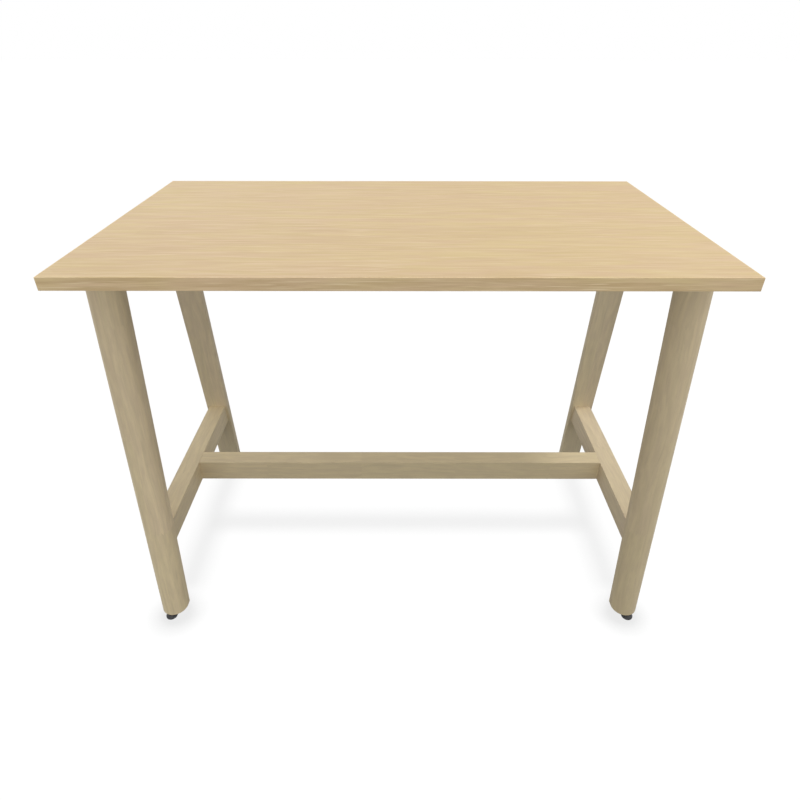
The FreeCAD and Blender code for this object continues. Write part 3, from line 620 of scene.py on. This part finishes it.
def beech(name):
    material, tree, shader = new_material(name)
    grain = add_node(tree, "ShaderNodeGroup", {"node_tree": wood_grain}, {
        "Vector": along_grain(tree, ACROSS), "Block": 0.6, "Ring Scale": 60.0, "Fibre Scale": 400.0})
    colour = mix_colours(tree, grain.outputs["Fibres"], from_srgb(214, 178, 138), from_srgb(184, 142, 102))
    tree.links.new(colour, shader.inputs["Base Color"])
    shader.inputs["Roughness"].default_value = 0.7
    return material


finishes["core_chips"] = chipboard("core_chips")
finishes["dowel_beech"] = beech("dowel_beech")
print("finishes in all:", len(finishes))

# %% [markdown]
# ## Put the finishes on the solids
# Each solid keeps its shape and gets the finish of its kind, picked by the start of its name.

# %% Assign finishes
FINISH_OF = {
    "leg_front_left": "front_left_leg_wood",
    "leg_front_right": "front_right_leg_wood",
    "leg_back_left": "back_left_leg_wood",
    "leg_back_right": "back_right_leg_wood",
    "long_rail_dowels": "dowel_beech",
    "long_rail_bolts": "zinc_plate",
    "long_rail": "long_rail_wood",
    "side_rail_dowels": "dowel_beech",
    "side_rail_left": "left_rail_wood",
    "side_rail_right": "right_rail_wood",
    "top_laminate": "top_decor",
    "backing_laminate": "top_decor",
    "edge_band_front": "long_edge_decor",
    "edge_band_back": "long_edge_decor",
    "edge_band_left": "end_edge_decor",
    "edge_band_right": "end_edge_decor",
    "top_core": "core_chips",
    "leg_plate": "black_powder_coat",
    "plate_screws": "zinc_plate",
    "leg_bolts": "zinc_plate",
    "leg_inserts": "insert_brass",
    "barrel_nuts": "zinc_plate",
    "foot_inserts": "insert_brass",
    "foot_pad": "foot_plastic",
    "foot_stud": "zinc_plate",
    "foot_nut": "zinc_plate",
}
for node_name, node_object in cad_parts.items():
    start = next(key for key in FINISH_OF if node_name.startswith(key))
    for slot in node_object.material_slots:
        slot.material = finishes[FINISH_OF[start]]
print("dressed solids:", len(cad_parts))

# %% [markdown]
# ## Small turned fittings
# The solids of the screws, bolts and feet are plain. On the real ones the screw heads have a hexagon
# socket, the studs carry a thread, the corners of the nuts are turned off and the pads have soft edges.
# Boolean tools could cut these shapes, but a stack of rings, each round, six-sided or wavy like a thread,
# makes them with clean faces. A thread is a ring whose radius rises and falls once in a turn, and each
# next ring is turned a little further.

# %% Rings
def ring(radius, height, steps=48, sides=0):
    """Points of a round ring, or of a polygon whose corners lie at the radius."""
    points = []
    for step in range(steps):
        angle = 2 * math.pi * step / steps
        reach = radius
        if sides:
            half = math.pi / sides
            reach = radius * math.cos(half) / math.cos(angle % (2 * half) - half)
        points.append(Vector((reach * math.cos(angle), reach * math.sin(angle), height)))
    return points


def thread(radius, start, end, pitch, depth, steps=48, rows=8):
    """Rings of a right-hand thread that runs out at both ends."""
    rings = []
    count = round((end - start) / pitch * rows)
    for row in range(count + 1):
        height = start + (end - start) * row / count
        run_out = min(1.0, (height - start) / pitch, (end - height) / pitch)
        points = []
        for step in range(steps):
            turn = step / steps
            wave = 0.5 - 0.5 * math.cos(2 * math.pi * (height / pitch - turn))
            reach = radius - depth * run_out * wave
            angle = 2 * math.pi * turn
            points.append(Vector((reach * math.cos(angle), reach * math.sin(angle), height)))
        rings.append(points)
    return rings


def rounded(corners, steps=4):
    """(radius, height, rounding) corners as (radius, height) points, with an arc at each rounded corner."""
    points = []
    for index, (radius, height, rounding) in enumerate(corners):
        here = Vector((radius, height))
        if rounding == 0:
            points.append(here)
            continue
        before = (Vector(corners[index - 1][:2]) - here).normalized()
        after = (Vector(corners[index + 1][:2]) - here).normalized()
        half = before.angle(after) / 2
        middle = here + (before + after).normalized() * (rounding / math.sin(half))
        first = here + before * (rounding / math.tan(half)) - middle
        last = here + after * (rounding / math.tan(half)) - middle
        for step in range(steps + 1):
            points.append(middle + first.lerp(last, step / steps).normalized() * rounding)
    return points


print("ring helpers ready")

# %% [markdown]
# The rings are joined by four-sided faces. A solid piece is capped at its first and last ring, and a
# piece with a hole right through it, such as a nut, is joined from its last ring back to its first.

# %% Mesh from rings
SHARP_ANGLE = math.radians(32)


def mesh_from_rings(name, rings, place=Matrix(), hollow=False):
    shape = bmesh.new()
    loops = [[shape.verts.new(point) for point in points] for points in rings]
    pairs = list(zip(loops, loops[1:]))
    if hollow:
        pairs.append((loops[-1], loops[0]))
    else:
        shape.faces.new(loops[0])
        shape.faces.new(loops[-1])
    for low, high in pairs:
        for step in range(len(low)):
            after = (step + 1) % len(low)
            shape.faces.new((low[step], low[after], high[after], high[step]))
    bmesh.ops.remove_doubles(shape, verts=shape.verts, dist=1e-7)
    bmesh.ops.recalc_face_normals(shape, faces=shape.faces)
    bmesh.ops.transform(shape, matrix=place, verts=shape.verts)
    mesh = bpy.data.meshes.new(name)
    shape.to_mesh(mesh)
    shape.free()
    return mesh


def soften(mesh):
    """Smooth faces with the sharp edges kept."""
    mesh.shade_smooth()
    mesh.set_sharp_from_angle(angle=SHARP_ANGLE)
    return mesh


def show(name, mesh, finish, body, slot, *nodes):
    """A finished piece that stands for solids and rides on their body."""
    if not mesh.materials:
        mesh.materials.append(finishes[finish])
    piece = bpy.data.objects.new(name, soften(mesh))
    scene.collection.objects.link(piece)
    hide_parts(*nodes)
    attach(piece, body)
    return piece


print("mesh helpers ready")

# %% [markdown]
# ## Screws of the plates and bolts of the long rail
# Sixteen countersunk wood screws hold the plates to the top, and two furniture bolts pull the long rail
# against the side rails. All screws are the same, so one screw and one bolt are modelled, each as a stack
# of rings from its socket to its tip.

# %% Screw and bolt
MM = 0.001
SCREW_HEAD_RADIUS = 4.5 * MM
SCREW_HEAD_HEIGHT = 2.5 * MM
SCREW_FACE_RADIUS = SCREW_HEAD_RADIUS - 0.25 * MM
SCREW_RIM_RADIUS = SCREW_HEAD_RADIUS - 0.35 * MM
SCREW_RIM_HEIGHT = 0.3 * MM
SCREW_SOCKET = 1.73 * MM
SCREW_SOCKET_DEPTH = 1.5 * MM
SCREW_RADIUS = 2.25 * MM
SCREW_LENGTH = 25 * MM
SCREW_POINT = 4 * MM
SCREW_TIP_RADIUS = 0.15 * MM
SCREW_TIP_SHORT = 0.1 * MM
SCREW_PITCH = 1.6 * MM
SCREW_THREAD_DEPTH = 0.55 * MM
SCREW_THREAD_START = 6 * MM
SCREW_STEPS = 24
SCREW_ROWS = 5

screw_rings = [
    ring(SCREW_SOCKET, SCREW_SOCKET_DEPTH, SCREW_STEPS, 6),
    ring(SCREW_SOCKET, 0.0, SCREW_STEPS, 6),
    ring(SCREW_FACE_RADIUS, 0.0, SCREW_STEPS),
    ring(SCREW_RIM_RADIUS, SCREW_RIM_HEIGHT, SCREW_STEPS),
    ring(SCREW_RADIUS, SCREW_HEAD_HEIGHT, SCREW_STEPS),
]
screw_rings += thread(SCREW_RADIUS, SCREW_THREAD_START, SCREW_LENGTH - SCREW_POINT, SCREW_PITCH,
                      SCREW_THREAD_DEPTH, SCREW_STEPS, SCREW_ROWS)
screw_rings += [ring(SCREW_TIP_RADIUS, SCREW_LENGTH - SCREW_TIP_SHORT, SCREW_STEPS)]
screw_mesh = mesh_from_rings("screw", screw_rings)

M8_RADIUS = 4 * MM
M8_PITCH = 1.25 * MM
M8_THREAD_DEPTH = 0.6 * MM
M8_CHAMFER = 0.8 * MM
BOLT_HEAD_RADIUS = 8.5 * MM
BOLT_HEAD_HEIGHT = 3 * MM
BOLT_FACE_RADIUS = 5 * MM
BOLT_SOCKET = 2.887 * MM
BOLT_SOCKET_DEPTH = 2.2 * MM
BOLT_SOCKET_LEAD = 0.2 * MM
BOLT_SOCKET_RIM = 3.2 * MM
BOLT_LENGTH = 93 * MM
BOLT_THREAD_START = 60 * MM

bolt_profile = rounded([
    (BOLT_FACE_RADIUS, 0, 0), (BOLT_HEAD_RADIUS, 0, 0.7 * MM),
    (BOLT_HEAD_RADIUS, BOLT_HEAD_HEIGHT, 0.15 * MM), (M8_RADIUS, BOLT_HEAD_HEIGHT, 0)])
bolt_rings = [
    ring(BOLT_SOCKET, BOLT_SOCKET_DEPTH, sides=6),
    ring(BOLT_SOCKET, BOLT_SOCKET_LEAD, sides=6),
    ring(BOLT_SOCKET_RIM, 0.0),
]
bolt_rings += [ring(point.x, point.y) for point in bolt_profile]
bolt_rings += thread(M8_RADIUS, BOLT_THREAD_START, BOLT_LENGTH - M8_CHAMFER, M8_PITCH, M8_THREAD_DEPTH)
bolt_rings += [ring(M8_RADIUS - M8_CHAMFER, BOLT_LENGTH)]
bolt_mesh = mesh_from_rings("bolt", bolt_rings, Matrix.Rotation(math.pi / 2, 4, "Y"))
print("screw faces:", len(screw_mesh.polygons), "bolt faces:", len(bolt_mesh.polygons))

# %% [markdown]
# Copies could be placed one by one from a list of points. A Geometry Nodes tree keeps the sizes of the
# pattern as named inputs instead, so it serves the screws and the bolts alike: a grid of groups, a grid
# within each group, and a turn for each one. Screws stop at any angle, so their turn is random with a
# fixed seed. The two bolts face outward, so the right one is turned by half a turn.

# %% Fastener pattern
PATTERN_SOCKETS = {
    "Fastener": "NodeSocketObject",
    "Finish": "NodeSocketMaterial",
    "Groups Along": "NodeSocketInt",
    "Groups Across": "NodeSocketInt",
    "Group Distance Along": "NodeSocketFloat",
    "Group Distance Across": "NodeSocketFloat",
    "Each Along": "NodeSocketInt",
    "Each Across": "NodeSocketInt",
    "Distance Along": "NodeSocketFloat",
    "Distance Across": "NodeSocketFloat",
    "Height": "NodeSocketFloat",
    "Random Turn": "NodeSocketFloat",
    "Outward Turn": "NodeSocketFloat",
    "Seed": "NodeSocketInt",
}


def pattern_tree():
    tree = bpy.data.node_groups.new("fastener_pattern", "GeometryNodeTree")
    tree.interface.new_socket("Geometry", in_out="INPUT", socket_type="NodeSocketGeometry")
    for name, kind in PATTERN_SOCKETS.items():
        tree.interface.new_socket(name, in_out="INPUT", socket_type=kind)
    tree.interface.new_socket("Geometry", in_out="OUTPUT", socket_type="NodeSocketGeometry")
    inside = add_node(tree, "NodeGroupInput").outputs

    def grid(along, across, count_along, count_across):
        return add_node(tree, "GeometryNodeMeshGrid", None, {
            "Size X": inside[along], "Size Y": inside[across], "Vertices X": inside[count_along],
            "Vertices Y": inside[count_across]}).outputs["Mesh"]

    groups = grid("Group Distance Along", "Group Distance Across", "Groups Along", "Groups Across")
    each = grid("Distance Along", "Distance Across", "Each Along", "Each Across")
    spread = add_node(tree, "GeometryNodeInstanceOnPoints", None, {"Points": groups, "Instance": each})
    points = add_node(tree, "GeometryNodeRealizeInstances", None, {"Geometry": spread.outputs["Instances"]})
    lift = add_node(tree, "ShaderNodeCombineXYZ", None, {"Z": inside["Height"]})
    raised = add_node(tree, "GeometryNodeSetPosition", None, {
        "Geometry": points.outputs["Geometry"], "Offset": lift.outputs["Vector"]})

    place = add_node(tree, "ShaderNodeSeparateXYZ", None, {
        "Vector": add_node(tree, "GeometryNodeInputPosition").outputs["Position"]})
    on_right = math_node(tree, "GREATER_THAN", place.outputs["X"], 0.0)
    chance = add_node(tree, "FunctionNodeRandomValue", {"data_type": "FLOAT"}, {"Seed": inside["Seed"]})
    outward = math_node(tree, "MULTIPLY", on_right, inside["Outward Turn"])
    by_chance = math_node(tree, "MULTIPLY", chance.outputs[1], inside["Random Turn"])
    turn = math_node(tree, "ADD", outward, by_chance)
    rotation = add_node(tree, "FunctionNodeEulerToRotation", None, {
        "Euler": add_node(tree, "ShaderNodeCombineXYZ", None, {"Z": turn}).outputs["Vector"]})

    fastener = add_node(tree, "GeometryNodeObjectInfo", None, {"Object": inside["Fastener"]})
    placed = add_node(tree, "GeometryNodeInstanceOnPoints", None, {
        "Points": raised.outputs["Geometry"], "Instance": fastener.outputs["Geometry"],
        "Rotation": rotation.outputs["Rotation"]})
    solid = add_node(tree, "GeometryNodeRealizeInstances", None, {"Geometry": placed.outputs["Instances"]})
    coated = add_node(tree, "GeometryNodeSetMaterial", None, {
        "Geometry": solid.outputs["Geometry"], "Material": inside["Finish"]})
    add_node(tree, "NodeGroupOutput", None, {"Geometry": coated.outputs["Geometry"]})
    return tree


fastener_pattern = pattern_tree()
print("tree made:", fastener_pattern.name, "inputs:", len(PATTERN_SOCKETS))

# %% [markdown]
# The tree runs once for each kind of fastener, and its result is kept as a plain mesh that stands for the
# solids. The places come from the boxes of the solids, so each screw sits in the hole of its plate.

# %% Set out the fasteners
PATTERN_SEED = 7


def set_out(name, fastener_mesh, **values):
    """A plain mesh with copies of one fastener, set out by the pattern tree."""
    master = bpy.data.objects.new(f"{name}_master", fastener_mesh)
    carrier = bpy.data.objects.new(f"{name}_carrier", bpy.data.meshes.new(f"{name}_carrier"))
    scene.collection.objects.link(master)
    scene.collection.objects.link(carrier)
    modifier = carrier.modifiers.new("pattern", "NODES")
    modifier.node_group = fastener_pattern
    inputs = {"Fastener": master, "Finish": finishes["zinc_plate"], "Seed": PATTERN_SEED}
    inputs.update({key.replace("_", " ").title(): value for key, value in values.items()})
    for item in fastener_pattern.interface.items_tree:
        if item.in_out == "INPUT" and item.name in inputs:
            modifier[item.identifier] = inputs[item.name]
    ready = carrier.evaluated_get(bpy.context.evaluated_depsgraph_get())
    made = bpy.data.meshes.new_from_object(ready)
    made.name = name
    carrier.modifiers.remove(modifier)
    bpy.data.objects.remove(carrier)
    bpy.data.objects.remove(master)
    return made


def middle_of(node):
    low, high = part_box(node)
    return (Vector(low) + Vector(high)) / 2


SCREW_SPACING_ALONG = 116 * MM
SCREW_SPACING_ACROSS = 86 * MM
plate_middle = middle_of("leg_plate_back_right")
screw_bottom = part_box("plate_screws")[0][2]
plate_screws = set_out(
    "plate_screws_detail", screw_mesh, groups_along=2, groups_across=2,
    group_distance_along=2 * plate_middle.x, group_distance_across=2 * plate_middle.y,
    each_along=2, each_across=2, distance_along=SCREW_SPACING_ALONG, distance_across=SCREW_SPACING_ACROSS,
    height=screw_bottom, random_turn=2 * math.pi, outward_turn=0.0)
show("plate_screws_detail", plate_screws, "zinc_plate", "frame", "zinc_steel", "plate_screws")

bolt_low, bolt_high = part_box("long_rail_bolts")
rail_bolts = set_out(
    "long_rail_bolts_detail", bolt_mesh, groups_along=2, groups_across=1,
    group_distance_along=bolt_high[0] - bolt_low[0], group_distance_across=0.0,
    each_along=1, each_across=1, distance_along=0.0, distance_across=0.0,
    height=(bolt_low[2] + bolt_high[2]) / 2, random_turn=0.0, outward_turn=math.pi)
show("long_rail_bolts_detail", rail_bolts, "zinc_plate", "frame", "zinc_steel", "long_rail_bolts")
print("screw faces in all:", len(plate_screws.polygons), "bolt faces in all:", len(rail_bolts.polygons))

# %% [markdown]
# ## Levelling feet
# Each foot is a black moulded pad with soft edges, a threaded stud that turns in it, and a lock nut. The
# thread has the pitch that the foot moves by in one turn. A foot turns by itself, so each corner has its
# own stud, nut and pad.

# %% Feet
NUT_ACROSS_FLATS = 13 * MM
NUT_FACE_RADIUS = 6.1 * MM
NUT_BEVEL = 0.8 * MM
NUT_LEAD = 0.5 * MM
PAD_RADIUS = 16 * MM
PAD_SOLE = 12 * MM
PAD_RIM = 5 * MM
PAD_HEIGHT = 11 * MM
PAD_BOSS = 9 * MM
PAD_FLOOR = 3 * MM
STUD_BORE = 4.05 * MM


def stud_rings(bottom, top):
    rings = [ring(M8_RADIUS - M8_CHAMFER, bottom), ring(M8_RADIUS, bottom + M8_CHAMFER)]
    rings += thread(M8_RADIUS, PAD_HEIGHT + MM, top - M8_CHAMFER, M8_PITCH, M8_THREAD_DEPTH)
    return rings + [ring(M8_RADIUS - M8_CHAMFER, top)]


def nut_rings(bottom, top):
    corner = NUT_ACROSS_FLATS / math.sqrt(3)
    return [
        ring(STUD_BORE + NUT_LEAD, bottom), ring(NUT_FACE_RADIUS, bottom),
        ring(corner, bottom + NUT_BEVEL, sides=6), ring(corner, top - NUT_BEVEL, sides=6),
        ring(NUT_FACE_RADIUS, top), ring(STUD_BORE + NUT_LEAD, top),
        ring(STUD_BORE, top - NUT_LEAD), ring(STUD_BORE, bottom + NUT_LEAD),
    ]


def pad_rings():
    profile = rounded([
        (PAD_SOLE, 0, 0), (PAD_RADIUS - MM, 0, 0.5 * MM), (PAD_RADIUS, MM, 0.5 * MM),
        (PAD_RADIUS, PAD_RIM, 0.9 * MM), (PAD_BOSS, PAD_HEIGHT, 0.8 * MM),
        (STUD_BORE, PAD_HEIGHT, 0.3 * MM), (STUD_BORE, PAD_FLOOR, 0)])
    return [ring(point.x, point.y) for point in profile]


for corner in ("front_left", "front_right", "back_left", "back_right"):
    pad_middle = middle_of(f"foot_pad_{corner}")
    upright = Matrix.Translation((pad_middle.x, pad_middle.y, 0))
    stud_low, stud_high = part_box(f"foot_stud_{corner}")
    nut_low, nut_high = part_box(f"foot_nut_{corner}")
    stud = mesh_from_rings(f"foot_stud_detail_{corner}", stud_rings(stud_low[2], stud_high[2]), upright)
    nut_shape = nut_rings(nut_low[2], nut_high[2])
    nut = mesh_from_rings(f"foot_nut_detail_{corner}", nut_shape, upright, hollow=True)
    pad = mesh_from_rings(f"foot_pad_detail_{corner}", pad_rings(), upright)
    turning = f"levelling_stud_{corner}"
    show(stud.name, stud, "zinc_plate", turning, "zinc_steel", f"foot_stud_{corner}")
    show(nut.name, nut, "zinc_plate", turning, "zinc_steel", f"foot_nut_{corner}")
    show(pad.name, pad, "foot_plastic", f"levelling_pad_{corner}", "black_plastic", f"foot_pad_{corner}")
print("faces of one stud, nut and pad:", len(stud.polygons), len(nut.polygons), len(pad.polygons))
